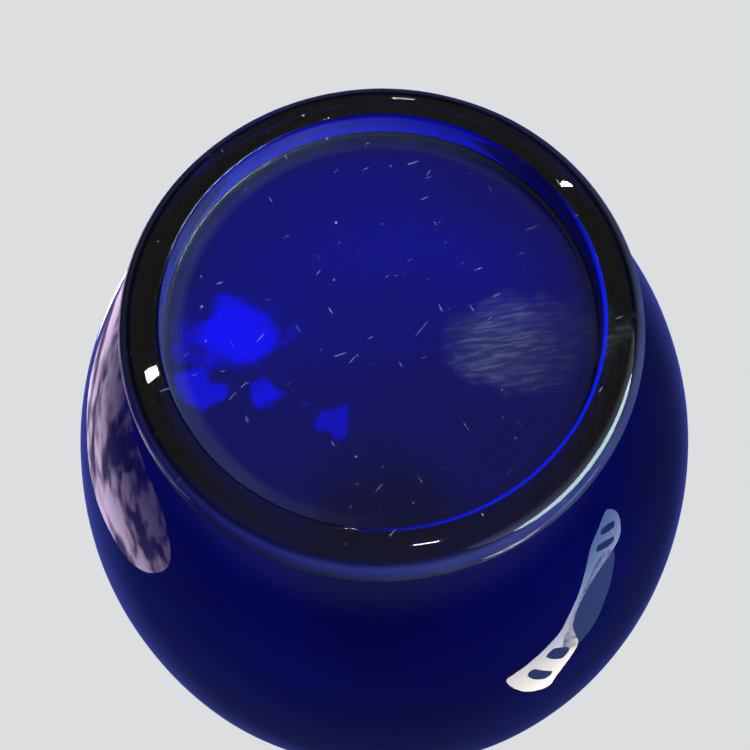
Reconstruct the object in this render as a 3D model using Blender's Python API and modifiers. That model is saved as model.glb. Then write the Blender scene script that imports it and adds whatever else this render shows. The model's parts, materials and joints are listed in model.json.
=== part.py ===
"""Swing top bottle: a round-bellied glass bottle with a wire and porcelain swing closure.

The bottle stands on its foot ring, centred on the origin, with +Z up through the mouth. The
lever's bow is at the front, towards -Y. The closure is shut: the lever is down, just past its
dead centre, and the stopper is seated in the mouth. Every hinge axis is parallel to X.
"""

import math

import bmesh
import bpy
from mathutils import Vector

MM = 0.001

# Glass body, outside
BELLY_RADIUS = 60 * MM
BELLY_HEIGHT = 87 * MM  # of the widest circle
SHOULDER_RISE = 66 * MM  # vertical half axis of the ellipse above the belly
SHOULDER_FILLET_RADIUS = 24 * MM  # where the shoulder starts to turn up into the neck
FOOT_RADIUS = 39.5 * MM
FOOT_EDGE_WIDTH = 3.6 * MM  # half axes of the foot ring's rounded outer edge
FOOT_EDGE_HEIGHT = 4.2 * MM
FOOT_WAIST = 1.8 * MM  # how far the groove above the foot ring is cut in
FOOT_HEIGHT = 9.5 * MM  # of the groove above the foot ring
RECESS_RADIUS = 32.9 * MM
RECESS_DEPTH = 5.6 * MM
RECESS_EDGE = 0.5 * MM
RECESS_BEND = 0.8 * MM  # where the recess wall turns into the panel
PANEL_RISE = 1.0 * MM  # the base panel is slightly domed

# Glass body, inside
WALL = 3.4 * MM
BASE_THICKNESS = 5.6 * MM
HEEL_THICKNESS = 4.8 * MM  # level thickness of the glass just above the cavity's floor
HEEL_CORNER = 3 * MM

# Neck and lip
BORE_RADIUS = 9.5 * MM
NECK_WALL = 4.5 * MM
NECK_ROOT_FLARE = 1.6 * MM  # how much wider the neck is at its root
NECK_ROOT_RISE = 6 * MM  # from the top of the shoulder's ellipse to the neck's root
NECK_LENGTH = 27 * MM  # from its root to the lip
NECK_STRAIGHT_LENGTH = 13 * MM  # of the plain cylinder under the lip
LIP_HEIGHT = 17 * MM
LIP_SWELL = 2 * MM  # how far the lip stands out from the neck
LIP_EDGE = 3.4 * MM
SEAT_DEPTH = 4.5 * MM
SEAT_WIDTH = 2.5 * MM
SEAT_TAPER = 0.2 * MM
SEAT_EDGE = 0.6 * MM  # where the seat rounds into the top of the lip

# Wires
WIRE_RADIUS = 1.1 * MM
PIVOT_CLEARANCE = 0.2 * MM  # between a wire and the eye that it turns in
RUNNING_GAP = 0.4 * MM  # between wires that pass each other
COLLAR_CLEARANCE = 0.5 * MM  # between the neck and the collar wire
COLLAR_DROP = 1.7 * MM  # from the lip's underside to the collar wire's centre
EYE_BEND = 1.5 * MM
LEVER_ARM = 9 * MM  # from the collar pivot to the bail pivot
LOCK_ANGLE = math.radians(6)  # how far the bail pivot stands past its dead centre
BOW_FRONT = 24 * MM
BOW_DROP = 24.5 * MM  # from the collar pivot down to the lever's bow
BOW_KNEE = 7 * MM  # height above the bow at which its sides turn forwards
BOW_BEND = 6 * MM
BOW_CORNER = 14 * MM
THUMB_WIDTH = 14 * MM
THUMB_KICK = 2 * MM
HOOK_BEND = 1.6 * MM
HOOK_CLEARANCE = 0.6 * MM  # between the bail's inner ends and the lip, when they swing past it
BAIL_BULGE = 0.8 * MM  # how far the bail's sides spread half way up
BAIL_TUCK = 0.4 * MM  # how far they come in at its top
BAIL_SIDE_BEND = 60 * MM
BAIL_CORNER = 5 * MM

# Stopper and gasket
SEAT_CLEARANCE = 0.3 * MM
GASKET_FLANGE = 2.8 * MM
GASKET_EDGE = 0.8 * MM
GASKET_WALL = 2.4 * MM  # round the shank, where the gasket passes into the bore
SHANK_CLEARANCE = 0.3 * MM
SHANK_BEAD = 0.9 * MM
SHANK_BEAD_HEIGHT = 2.8 * MM
STOPPER_FLANGE = 3 * MM
STOPPER_FLANGE_OVERHANG = 0.2 * MM
STOPPER_FLANGE_EDGE = 1.2 * MM
STOPPER_WAIST_HEIGHT = 2.4 * MM  # above the flange
STOPPER_WAIST_INSET = 3.2 * MM  # from the gasket's edge in to the stopper's waist
STOPPER_HEAD_INSET = 2 * MM
STOPPER_HEAD_HEIGHT = 14 * MM
STOPPER_DOME = 4 * MM
BAIL_HOLE_CLEARANCE = 0.4 * MM
BAIL_HOLE_HEIGHT = 5 * MM  # above the stopper's flange

# Fineness
GLASS_STEPS = 40
SMALL_STEPS = 32
HOLE_SIDES = 16

# What follows from the sizes above
NECK_RADIUS = BORE_RADIUS + NECK_WALL
NECK_ROOT_RADIUS = NECK_RADIUS + NECK_ROOT_FLARE
NECK_ROOT_HEIGHT = BELLY_HEIGHT + SHOULDER_RISE + NECK_ROOT_RISE
LIP_BOTTOM_HEIGHT = NECK_ROOT_HEIGHT + NECK_LENGTH
NECK_STRAIGHT_HEIGHT = LIP_BOTTOM_HEIGHT - NECK_STRAIGHT_LENGTH
LIP_RADIUS = NECK_RADIUS + LIP_SWELL
MOUTH_HEIGHT = LIP_BOTTOM_HEIGHT + LIP_HEIGHT
EYE_RADIUS = 2 * WIRE_RADIUS + PIVOT_CLEARANCE
COLLAR_RADIUS = NECK_RADIUS + COLLAR_CLEARANCE + WIRE_RADIUS
COLLAR_HEIGHT = LIP_BOTTOM_HEIGHT - COLLAR_DROP
EYE_GAP = WIRE_RADIUS + RUNNING_GAP / 2  # half the distance between the wires at an eye's throat
EYE_THROAT = math.asin(EYE_GAP / EYE_RADIUS)
COLLAR_PIVOT_Z = COLLAR_HEIGHT - EYE_BEND - EYE_RADIUS * math.cos(EYE_THROAT)
BAIL_PIVOT_Y = LEVER_ARM * math.sin(LOCK_ANGLE)
BAIL_PIVOT_Z = COLLAR_PIVOT_Z - LEVER_ARM * math.cos(LOCK_ANGLE)
LEVER_INNER_X = COLLAR_RADIUS + 2 * WIRE_RADIUS + RUNNING_GAP
LEVER_OUTER_X = LEVER_INNER_X + 2 * WIRE_RADIUS + RUNNING_GAP
BAIL_X = LEVER_OUTER_X + 2 * WIRE_RADIUS + RUNNING_GAP
GASKET_RADIUS = LIP_RADIUS - LIP_EDGE
GASKET_TOP = MOUTH_HEIGHT + SEAT_CLEARANCE + GASKET_FLANGE
SHANK_RADIUS = BORE_RADIUS - SEAT_CLEARANCE - GASKET_WALL - SHANK_CLEARANCE
STOPPER_WAIST_RADIUS = GASKET_RADIUS - STOPPER_WAIST_INSET
STOPPER_HEAD_RADIUS = GASKET_RADIUS - STOPPER_HEAD_INSET
FLANGE_BOTTOM = GASKET_TOP + SEAT_CLEARANCE
FLANGE_TOP = FLANGE_BOTTOM + STOPPER_FLANGE
STOPPER_PIVOT_Z = FLANGE_TOP + BAIL_HOLE_HEIGHT


def material(name, colour, roughness, metallic=0.0, transmission=0.0):
    made = bpy.data.materials.new(name)
    made.use_nodes = True
    shader = made.node_tree.nodes["Principled BSDF"]
    shader.inputs["Base Color"].default_value = (*colour, 1)
    shader.inputs["Roughness"].default_value = roughness
    shader.inputs["Metallic"].default_value = metallic
    shader.inputs["Transmission Weight"].default_value = transmission
    made.diffuse_color = (*colour, 1)
    return made


def ellipse(centre, radii, start, end, count):
    """Points (r, z) on an ellipse from one angle to another, both ends included."""
    angles = [start + (end - start) * i / count for i in range(count + 1)]
    return [(centre[0] + radii[0] * math.cos(a), centre[1] + radii[1] * math.sin(a)) for a in angles]


def bend(start, corner, end, count):
    """Points on the curve that leaves start towards corner and reaches end from it."""
    points = []
    for i in range(count + 1):
        t = i / count
        points.append(
            tuple((1 - t) ** 2 * s + 2 * t * (1 - t) * c + t * t * e for s, c, e in zip(start, corner, end))
        )
    return points


def without_repeats(points, closer_than=1e-6):
    kept = [points[0]]
    for point in points[1:]:
        if math.dist(point, kept[-1]) > closer_than:
            kept.append(point)
    return kept


def turned(name, profile, steps, finish, collection):
    """A body of revolution. The profile is a list of (r, z) that runs down the outer side."""
    mesh = bpy.data.meshes.new(name)
    points = without_repeats(profile)
    closed = math.dist(points[0], points[-1]) < 1e-6
    if closed:
        points.pop()
    edges = [(i, i + 1) for i in range(len(points) - 1)]
    if closed:
        edges.append((len(points) - 1, 0))
    mesh.from_pydata([(r, 0, z) for r, z in points], edges, [])
    obj = bpy.data.objects.new(name, mesh)
    collection.objects.link(obj)
    screw = obj.modifiers.new("Turn", "SCREW")
    screw.steps = screw.render_steps = steps
    screw.use_merge_vertices = True
    screw.merge_threshold = 1e-5
    screw.use_smooth_shade = True
    mesh.materials.append(finish)
    return obj


def wire_points(corners, segments=6):
    """A wire's centreline: straight runs between (point, bend radius) corners, with round bends."""
    path = [Vector(corners[0][0])]
    for (before, _), (corner, radius), (after, _) in zip(corners, corners[1:], corners[2:]):
        corner = Vector(corner)
        back = (Vector(before) - corner).normalized()
        ahead = (Vector(after) - corner).normalized()
        turn = back.angle(ahead)
        if radius == 0 or math.pi - turn < 1e-4:
            path.append(corner)
            continue
        reach = radius / math.tan(turn / 2)
        centre = corner + (back + ahead).normalized() * radius / math.sin(turn / 2)
        first = corner + back * reach - centre
        last = corner + ahead * reach - centre
        for i in range(segments + 1):
            path.append(centre + radius * first.slerp(last, i / segments))
    path.append(Vector(corners[-1][0]))
    return [tuple(point) for point in path]


def wire(name, path, finish, collection, cyclic=False):
    curve = bpy.data.curves.new(name, "CURVE")
    curve.dimensions = "3D"
    curve.bevel_depth = WIRE_RADIUS
    curve.bevel_resolution = 2
    curve.use_fill_caps = not cyclic
    points = without_repeats(path)
    spline = curve.splines.new("POLY")
    spline.points.add(len(points) - 1)
    for target, point in zip(spline.points, points):
        target.co = (*point, 1)
    spline.use_cyclic_u = cyclic
    spline.use_smooth = True
    obj = bpy.data.objects.new(name, curve)
    collection.objects.link(obj)
    curve.materials.append(finish)
    return obj


def about(origin_y, origin_z, obj):
    """Moves a shape's origin on to its hinge axis, leaving the shape where it is."""
    shift = Vector((0, origin_y, origin_z))
    if obj.type == "CURVE":
        for spline in obj.data.splines:
            for point in spline.points:
                point.co = (*(point.co.xyz - shift), 1)
    else:
        for vertex in obj.data.vertices:
            vertex.co = vertex.co - shift
    obj.location = shift


def outside_profile():
    """The glass's outer side, from the top of the lip down to the middle of the base panel."""
    lip_top = LIP_RADIUS - LIP_EDGE
    points = ellipse((lip_top, MOUTH_HEIGHT - LIP_EDGE), (LIP_EDGE, LIP_EDGE), math.pi / 2, 0, 5)
    lip_swell = LIP_RADIUS - NECK_RADIUS
    points += bend(
        (LIP_RADIUS, LIP_BOTTOM_HEIGHT + 1.6 * lip_swell),
        (LIP_RADIUS, LIP_BOTTOM_HEIGHT),
        (NECK_RADIUS, LIP_BOTTOM_HEIGHT),
        4,
    )
    points.append((NECK_RADIUS, NECK_STRAIGHT_HEIGHT))
    start = math.acos(SHOULDER_FILLET_RADIUS / BELLY_RADIUS)
    shoulder = ellipse((0, BELLY_HEIGHT), (BELLY_RADIUS, SHOULDER_RISE), start, 0, 10)
    slope = BELLY_RADIUS * math.sin(start) / (SHOULDER_RISE * math.cos(start))
    turn_height = shoulder[0][1] + (SHOULDER_FILLET_RADIUS - NECK_ROOT_RADIUS) / slope
    points += bend((NECK_ROOT_RADIUS, NECK_ROOT_HEIGHT), (NECK_ROOT_RADIUS, turn_height), shoulder[0], 5)
    points += shoulder
    points += lower_belly(BELLY_RADIUS, FOOT_RADIUS - FOOT_WAIST, FOOT_HEIGHT, 9)
    points += ellipse(
        (FOOT_RADIUS - FOOT_EDGE_WIDTH, FOOT_EDGE_HEIGHT),
        (FOOT_EDGE_WIDTH, FOOT_EDGE_HEIGHT),
        math.radians(40),
        -math.pi / 2,
        6,
    )
    points += ellipse(
        (RECESS_RADIUS + RECESS_EDGE, RECESS_EDGE), (RECESS_EDGE, RECESS_EDGE), 1.5 * math.pi, math.pi, 2
    )
    points += bend(
        (RECESS_RADIUS, RECESS_DEPTH - RECESS_BEND),
        (RECESS_RADIUS, RECESS_DEPTH),
        (RECESS_RADIUS - RECESS_BEND, RECESS_DEPTH),
        3,
    )
    points.append((RECESS_RADIUS / 2, RECESS_DEPTH + 0.75 * PANEL_RISE))
    points.append((0, RECESS_DEPTH + PANEL_RISE))
    return points


def lower_belly(belly, radius, height, count):
    """The ellipse from the widest circle down to a given radius at a given height."""
    end = math.acos(radius / belly)
    drop = (BELLY_HEIGHT - height) / math.sin(end)
    return ellipse((0, BELLY_HEIGHT), (belly, drop), 0, -end, count)


def inside_profile():
    """The cavity's side, from the middle of its floor up to the top of the lip."""
    belly = BELLY_RADIUS - WALL
    floor = RECESS_DEPTH + BASE_THICKNESS
    corner_height = floor + HEEL_CORNER
    outer = lower_belly(BELLY_RADIUS, FOOT_RADIUS - FOOT_WAIST, FOOT_HEIGHT, 40)
    at_corner = min(outer, key=lambda point: abs(point[1] - corner_height))
    heel = at_corner[0] - HEEL_THICKNESS
    points = [(0, floor + PANEL_RISE), (heel / 2, floor + 0.7 * PANEL_RISE)]
    points += bend((heel - HEEL_CORNER, floor), (heel - 0.2 * HEEL_CORNER, floor), (heel, corner_height), 3)
    points += reversed(lower_belly(belly, heel, corner_height, 7))
    rise = SHOULDER_RISE - WALL
    top_radius = SHOULDER_FILLET_RADIUS - WALL
    end = math.acos(top_radius / belly)
    shoulder = ellipse((0, BELLY_HEIGHT), (belly, rise), 0, end, 8)
    points += shoulder
    slope = belly * math.sin(end) / (rise * math.cos(end))
    turn_height = shoulder[-1][1] + (top_radius - BORE_RADIUS) / slope
    points += bend(shoulder[-1], (BORE_RADIUS, turn_height), (BORE_RADIUS, NECK_ROOT_HEIGHT), 4)
    points.append((BORE_RADIUS, MOUTH_HEIGHT - SEAT_DEPTH))
    points += bend(
        (BORE_RADIUS + SEAT_WIDTH, MOUTH_HEIGHT - SEAT_EDGE),
        (BORE_RADIUS + SEAT_WIDTH + SEAT_TAPER, MOUTH_HEIGHT),
        (LIP_RADIUS - LIP_EDGE, MOUTH_HEIGHT),
        2,
    )
    return points


def glass_bottle(finish, collection):
    profile = inside_profile() + outside_profile()
    return turned("glass_bottle", profile, GLASS_STEPS, finish, collection)


def neck_collar(finish, collection):
    """One wire round the neck, pinched at each side into an eye that hangs below it."""
    throat = EYE_GAP + EYE_BEND
    side_x = math.sqrt(COLLAR_RADIUS**2 - throat**2)
    opening = math.asin(throat / COLLAR_RADIUS)
    half = []
    sweep = math.pi - 2 * opening
    for i in range(17):  # the back half ring, from the +X side round to the -X side
        angle = opening + sweep * i / 16
        half.append((COLLAR_RADIUS * math.cos(angle), COLLAR_RADIUS * math.sin(angle), COLLAR_HEIGHT))
    bend_down = ellipse((throat, COLLAR_HEIGHT - EYE_BEND), (EYE_BEND, EYE_BEND), math.pi / 2, math.pi, 4)
    round_eye = ellipse(
        (0, COLLAR_PIVOT_Z),
        (EYE_RADIUS, EYE_RADIUS),
        math.pi / 2 - EYE_THROAT,
        -1.5 * math.pi + EYE_THROAT,
        14,
    )
    bend_up = [(-y, z) for y, z in reversed(bend_down)]
    eye = bend_down[1:] + round_eye[1:-1] + bend_up[:-1]
    left_eye = [(-side_x, y, z) for y, z in eye]
    front = [(-x, -y, z) for x, y, z in half]
    right_eye = [(side_x, -y, z) for y, z in eye]
    return wire("neck_collar", half + left_eye + front + right_eye, finish, collection, cyclic=True)


def lever_wire(finish, collection):
    """The lever: a pin in each collar eye, a coil for the bail, and a bow round the neck's front."""
    pin_end = NECK_RADIUS + COLLAR_CLEARANCE + PIVOT_CLEARANCE
    coil_start = -math.pi  # the coil is met and left on its front side
    pivot = (LEVER_INNER_X, 0, COLLAR_PIVOT_Z)
    coil_in = (LEVER_INNER_X, BAIL_PIVOT_Y - EYE_RADIUS, BAIL_PIVOT_Z)
    arm = wire_points([((pin_end, 0, COLLAR_PIVOT_Z), 0), (pivot, EYE_BEND), (coil_in, 0)], segments=4)
    coil = []
    steps = 16
    for i in range(1, steps):
        angle = coil_start + 2 * math.pi * i / steps
        coil.append(
            (
                LEVER_INNER_X + (LEVER_OUTER_X - LEVER_INNER_X) * i / steps,
                BAIL_PIVOT_Y + EYE_RADIUS * math.cos(angle),
                BAIL_PIVOT_Z + EYE_RADIUS * math.sin(angle),
            )
        )
    bow_height = COLLAR_PIVOT_Z - BOW_DROP
    knee_height = bow_height + BOW_KNEE
    coil_out = (LEVER_OUTER_X, BAIL_PIVOT_Y - EYE_RADIUS, BAIL_PIVOT_Z)
    side = wire_points(
        [
            (coil_out, 0),
            ((LEVER_OUTER_X, BAIL_PIVOT_Y - EYE_RADIUS, knee_height), BOW_BEND),
            ((LEVER_OUTER_X, -BOW_FRONT, bow_height), BOW_CORNER),
            ((THUMB_WIDTH / 2, -BOW_FRONT, bow_height), BOW_BEND),
            ((0.1 * THUMB_WIDTH, -BOW_FRONT - THUMB_KICK, bow_height - THUMB_KICK / 2), 0),
        ],
        segments=7,
    )
    right = arm + coil + side
    left = [(-x, y, z) for x, y, z in reversed(right)]
    return wire("lever_wire", right + left, finish, collection)


def bail_wire(finish, collection):
    """The bail: up from each coil, outside the lever, and straight across through the stopper."""
    hook_end = LIP_RADIUS + HOOK_CLEARANCE
    middle_z = (BAIL_PIVOT_Z + STOPPER_PIVOT_Z) / 2
    right = wire_points(
        [
            ((hook_end, BAIL_PIVOT_Y, BAIL_PIVOT_Z), 0),
            ((BAIL_X, BAIL_PIVOT_Y, BAIL_PIVOT_Z), HOOK_BEND),
            ((BAIL_X + BAIL_BULGE, BAIL_PIVOT_Y / 2, middle_z), BAIL_SIDE_BEND),
            ((BAIL_X - BAIL_TUCK, 0, STOPPER_PIVOT_Z), BAIL_CORNER),
            ((0, 0, STOPPER_PIVOT_Z), 0),
        ]
    )
    left = [(-x, y, z) for x, y, z in reversed(right)]
    return wire("bail_wire", right + left, finish, collection)


def stopper(finish, collection, cutters):
    """The porcelain stopper: a shank for the gasket, a flange, and a domed head bored for the bail."""
    bead = SHANK_RADIUS + SHANK_BEAD
    seat_bottom = MOUTH_HEIGHT - SEAT_DEPTH
    bead_top = seat_bottom - SEAT_CLEARANCE / 2
    bead_mid = bead_top - SHANK_BEAD_HEIGHT / 2
    flange = GASKET_RADIUS + STOPPER_FLANGE_OVERHANG
    head_top = FLANGE_TOP + STOPPER_HEAD_HEIGHT
    profile = [(0, head_top)]
    profile += ellipse(
        (0, head_top - STOPPER_DOME), (STOPPER_HEAD_RADIUS, STOPPER_DOME), math.radians(75), 0, 6
    )
    profile.append((STOPPER_HEAD_RADIUS, STOPPER_PIVOT_Z))
    profile += bend(
        (STOPPER_WAIST_RADIUS, FLANGE_TOP + STOPPER_WAIST_HEIGHT),
        (STOPPER_WAIST_RADIUS, FLANGE_TOP),
        (flange - STOPPER_FLANGE_EDGE, FLANGE_TOP),
        4,
    )
    profile += ellipse(
        (flange - STOPPER_FLANGE_EDGE, FLANGE_TOP - STOPPER_FLANGE_EDGE),
        (STOPPER_FLANGE_EDGE, STOPPER_FLANGE_EDGE),
        math.pi / 2,
        0,
        3,
    )
    profile += [
        (flange, FLANGE_BOTTOM),
        (SHANK_RADIUS, FLANGE_BOTTOM),
        (SHANK_RADIUS, bead_top + SHANK_BEAD / 2),
    ]
    profile += ellipse(
        (SHANK_RADIUS, bead_mid), (bead - SHANK_RADIUS, SHANK_BEAD_HEIGHT / 2), math.pi / 2, -math.pi / 2, 6
    )
    profile.append((0, bead_mid - SHANK_BEAD_HEIGHT / 2))
    obj = turned("stopper", profile, SMALL_STEPS, finish, collection)
    hole = bmesh.new()
    bmesh.ops.create_cone(
        hole,
        cap_ends=True,
        segments=HOLE_SIDES,
        radius1=WIRE_RADIUS + BAIL_HOLE_CLEARANCE,
        radius2=WIRE_RADIUS + BAIL_HOLE_CLEARANCE,
        depth=4 * STOPPER_HEAD_RADIUS,
    )
    cutter_mesh = bpy.data.meshes.new("bail_hole")
    hole.to_mesh(cutter_mesh)
    hole.free()
    cutter = bpy.data.objects.new("bail_hole", cutter_mesh)
    cutter.location = (0, 0, STOPPER_PIVOT_Z)
    cutter.rotation_euler = (0, math.pi / 2, 0)
    cutter.hide_render = True
    cutter.display_type = "WIRE"
    cutters.objects.link(cutter)
    bore = obj.modifiers.new("Bail hole", "BOOLEAN")
    bore.operation = "DIFFERENCE"
    bore.object = cutter
    return obj


def gasket(finish, collection):
    """The rubber gasket: a flange over the lip and a cone that seats in the mouth."""
    inner = SHANK_RADIUS + SHANK_CLEARANCE
    seat_top = BORE_RADIUS + SEAT_WIDTH
    bottom = MOUTH_HEIGHT - SEAT_DEPTH + SEAT_CLEARANCE
    profile = [(inner, GASKET_TOP)]
    profile += ellipse(
        (GASKET_RADIUS - GASKET_EDGE, GASKET_TOP - GASKET_EDGE), (GASKET_EDGE, GASKET_EDGE), math.pi / 2, 0, 2
    )
    profile += [
        (GASKET_RADIUS, MOUTH_HEIGHT + SEAT_CLEARANCE),
        (seat_top - SEAT_CLEARANCE / 2, MOUTH_HEIGHT + SEAT_CLEARANCE),
        (BORE_RADIUS - SEAT_CLEARANCE, bottom + GASKET_EDGE / 2),
        (BORE_RADIUS - SEAT_CLEARANCE - GASKET_EDGE, bottom),
        (inner, bottom),
        (inner, GASKET_TOP),
    ]
    return turned("gasket", profile, SMALL_STEPS, finish, collection)


def main():
    for obj in list(bpy.data.objects):
        bpy.data.objects.remove(obj, do_unlink=True)
    bottle = bpy.data.collections.new("swing_top_bottle")
    cutters = bpy.data.collections.new("cutters")
    for collection in (bottle, cutters):
        bpy.context.scene.collection.children.link(collection)

    glass = material("cobalt_glass", (0.01, 0.015, 0.35), 0.02, transmission=1.0)
    steel = material("steel_wire", (0.62, 0.63, 0.65), 0.3, metallic=1.0)
    porcelain = material("porcelain", (0.87, 0.86, 0.82), 0.12)
    rubber = material("gasket_rubber", (0.62, 0.12, 0.05), 0.6)

    glass_bottle(glass, bottle)
    neck_collar(steel, bottle)
    about(0, COLLAR_PIVOT_Z, lever_wire(steel, bottle))
    about(BAIL_PIVOT_Y, BAIL_PIVOT_Z, bail_wire(steel, bottle))
    about(0, STOPPER_PIVOT_Z, stopper(porcelain, bottle, cutters))
    about(0, STOPPER_PIVOT_Z, gasket(rubber, bottle))


main()
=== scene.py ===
"""Looks of the swing top bottle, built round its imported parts. Metres, +Z up, the foot ring on z = 0.

The bottle is blown cobalt glass. Each part of the closure (collar, lever, bail, stopper and gasket)
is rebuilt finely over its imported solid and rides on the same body.
"""

import json
import math

import bmesh
import bpy
from mathutils import Matrix, Vector, noise


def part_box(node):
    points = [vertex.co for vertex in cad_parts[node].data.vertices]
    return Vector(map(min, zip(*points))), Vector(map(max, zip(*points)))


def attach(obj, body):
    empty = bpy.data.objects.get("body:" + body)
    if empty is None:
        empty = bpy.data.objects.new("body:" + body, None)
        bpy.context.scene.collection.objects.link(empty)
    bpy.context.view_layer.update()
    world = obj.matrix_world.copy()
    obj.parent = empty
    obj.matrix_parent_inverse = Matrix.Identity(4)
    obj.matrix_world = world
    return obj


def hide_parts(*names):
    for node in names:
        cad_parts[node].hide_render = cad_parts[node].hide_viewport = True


MM = 0.001

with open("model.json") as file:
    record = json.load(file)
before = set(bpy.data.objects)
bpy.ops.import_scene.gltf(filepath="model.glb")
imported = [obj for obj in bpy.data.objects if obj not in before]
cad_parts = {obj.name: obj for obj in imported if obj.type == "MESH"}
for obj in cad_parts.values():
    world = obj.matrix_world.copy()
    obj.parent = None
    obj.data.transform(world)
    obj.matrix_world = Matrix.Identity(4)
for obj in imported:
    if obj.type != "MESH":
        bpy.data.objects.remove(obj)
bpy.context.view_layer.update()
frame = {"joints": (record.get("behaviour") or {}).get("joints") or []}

# ---------------------------------------------------------------- sizes

# Bottle, outside
BELLY_RADIUS = 60 * MM
BELLY_HEIGHT = 87 * MM
SHOULDER_RISE = 66 * MM
SHOULDER_FILLET_RADIUS = 24 * MM
FOOT_RADIUS = 39.5 * MM
FOOT_EDGE_WIDTH = 3.6 * MM
FOOT_EDGE_HEIGHT = 4.2 * MM
FOOT_WAIST = 1.8 * MM
FOOT_HEIGHT = 9.5 * MM
RECESS_RADIUS = 32.9 * MM
RECESS_DEPTH = 5.6 * MM
RECESS_EDGE = 0.5 * MM
RECESS_BEND = 0.8 * MM
PANEL_RISE = 1.0 * MM

# Bottle, inside
WALL = 3.4 * MM
BASE_THICKNESS = 5.6 * MM
HEEL_THICKNESS = 4.8 * MM
HEEL_CORNER = 3 * MM

# Neck and lip
NECK_RADIUS = 14 * MM
NECK_ROOT_RADIUS = 15.6 * MM
NECK_ROOT_HEIGHT = 159 * MM
NECK_STRAIGHT_HEIGHT = 173 * MM
LIP_BOTTOM_HEIGHT = 186 * MM
LIP_RADIUS = 16 * MM
MOUTH_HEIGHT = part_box("glass_bottle")[1].z
LIP_EDGE = 3.4 * MM
BORE_RADIUS = 9.5 * MM
SEAT_DEPTH = 4.5 * MM
SEAT_WIDTH = 2.5 * MM

# Wires
WIRE_RADIUS = 1.1 * MM
PIVOT_CLEARANCE = 0.2 * MM
RUNNING_GAP = 0.4 * MM
COLLAR_CLEARANCE = 0.5 * MM
COLLAR_DROP = 1.7 * MM
EYE_BEND = 1.5 * MM
BOW_FRONT = 24 * MM
BOW_DROP = 24.5 * MM
BOW_CORNER = 14 * MM
BOW_KNEE = 7 * MM  # height above the bow at which its sides turn forwards
BOW_BEND = 6 * MM
THUMB_WIDTH = 14 * MM
THUMB_KICK = 2 * MM
HOOK_CLEARANCE = 0.6 * MM
HOOK_BEND = 1.6 * MM
BAIL_BULGE = 0.8 * MM  # how far the bail's sides spread half way up
BAIL_TUCK = 0.4 * MM  # how far they come in at its top
BAIL_SIDE_BEND = 60 * MM
BAIL_CORNER = 5 * MM
EYE_RADIUS = 2 * WIRE_RADIUS + PIVOT_CLEARANCE
COLLAR_RADIUS = NECK_RADIUS + COLLAR_CLEARANCE + WIRE_RADIUS
COLLAR_HEIGHT = LIP_BOTTOM_HEIGHT - COLLAR_DROP
LEVER_INNER_X = COLLAR_RADIUS + 2 * WIRE_RADIUS + RUNNING_GAP
LEVER_OUTER_X = LEVER_INNER_X + 2 * WIRE_RADIUS + RUNNING_GAP
BAIL_X = LEVER_OUTER_X + 2 * WIRE_RADIUS + RUNNING_GAP

# The hinge axes, from the record
PIVOT = {joint["name"]: joint["pos_m"] for joint in frame["joints"]}
COLLAR_PIVOT_Z = PIVOT["lever_swing"][2]
BAIL_PIVOT_Y = PIVOT["bail_swing"][1]
BAIL_PIVOT_Z = PIVOT["bail_swing"][2]
STOPPER_PIVOT_Z = PIVOT["stopper_tilt"][2]

# Stopper and gasket
SEAT_CLEARANCE = 0.3 * MM
SHANK_RADIUS = 6.5 * MM
SHANK_CLEARANCE = 0.3 * MM
SHANK_BEAD = 0.9 * MM
SHANK_BEAD_HEIGHT = 2.8 * MM
GASKET_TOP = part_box("gasket")[1].z
GASKET_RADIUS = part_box("gasket")[1].x
GASKET_EDGE = 0.8 * MM
FLANGE_THICKNESS = 3 * MM
FLANGE_EDGE = 1.2 * MM
FLANGE_LOWER_EDGE = 0.4 * MM
FLANGE_BOTTOM = GASKET_TOP + SEAT_CLEARANCE
FLANGE_TOP = FLANGE_BOTTOM + FLANGE_THICKNESS
FLANGE_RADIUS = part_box("stopper")[1].x
HEAD_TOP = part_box("stopper")[1].z
HEAD_RADIUS = 10.6 * MM
HEAD_DOME = 4 * MM
WAIST_RADIUS = 9.4 * MM
WAIST_HEIGHT = 2.4 * MM  # above the flange
BAIL_HOLE_RADIUS = 1.5 * MM

# ---------------------------------------------------------------- outlines


def arc(centre, radii, start, end, count):
    """Points (r, z) on an ellipse from one angle to another, in degrees."""
    angles = [math.radians(start + (end - start) * i / count) for i in range(count + 1)]
    return [(centre[0] + radii[0] * math.cos(a), centre[1] + radii[1] * math.sin(a)) for a in angles]


def bend(start, corner, end, count):
    """Points on the curve that leaves start towards corner and comes to end from it."""
    points = []
    for i in range(count + 1):
        t = i / count
        weights = ((1 - t) ** 2, 2 * t * (1 - t), t * t)
        points.append(tuple(sum(w * p[k] for w, p in zip(weights, (start, corner, end))) for k in (0, 1)))
    return points


def run(start, end, count):
    return [tuple(s + (e - s) * i / count for s, e in zip(start, end)) for i in range(count + 1)]


def without_repeats(points, closer_than=1e-6):
    kept = [points[0]]
    for point in points[1:]:
        if math.dist(point, kept[-1]) > closer_than:
            kept.append(point)
    return kept


def lower_belly(belly, radius, height, count):
    """The belly's arc from its widest circle down to a radius at a height."""
    end = math.degrees(math.acos(radius / belly))
    drop = (BELLY_HEIGHT - height) / math.sin(math.radians(end))
    return arc((0, BELLY_HEIGHT), (belly, drop), 0, -end, count)


def shoulder(belly, rise, top_radius, neck_radius, count):
    """The shoulder's arc, from its top down, and the height at which its tangent meets the neck."""
    start = math.acos(top_radius / belly)
    points = arc((0, BELLY_HEIGHT), (belly, rise), math.degrees(start), 0, count)
    slope = belly * math.sin(start) / (rise * math.cos(start))
    return points, points[0][1] + (top_radius - neck_radius) / slope


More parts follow.
